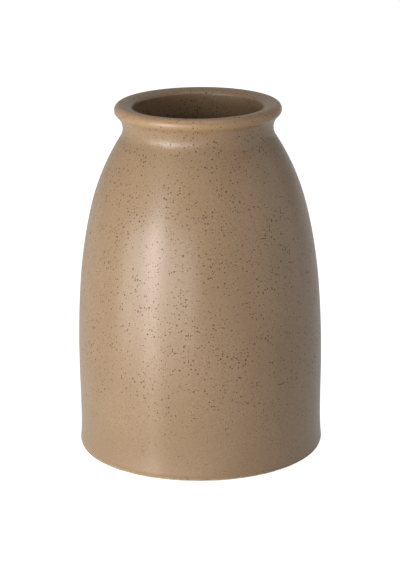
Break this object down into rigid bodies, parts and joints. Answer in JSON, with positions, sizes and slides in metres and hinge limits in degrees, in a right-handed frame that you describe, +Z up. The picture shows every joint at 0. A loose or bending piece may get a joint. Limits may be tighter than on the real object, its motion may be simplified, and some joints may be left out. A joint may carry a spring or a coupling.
{
  "type": "vase",
  "caption": "Wide-mouthed, bell-shaped stoneware flower vase with a rolled rim, a speckled satin glaze and a bare foot ring.",
  "frame": {"origin": "centre of the foot ring's flat face, on the surface that the vase stands on", "axes": "+Z up along the turning axis, through the middle of the mouth; the vase is round, so +X and +Y may point anywhere"},
  "size_m": [0.1478, 0.1478, 0.21],
  "materials": {
    "bare_clay": "matte",
    "speckled_glaze": "satin"
  },
  "bodies": {
    "root": {"stoneware_body": "bare_clay", "outer_glaze": "speckled_glaze", "liner_glaze": "speckled_glaze", "base_glaze": "speckled_glaze"}
  },
  "joints": []
}
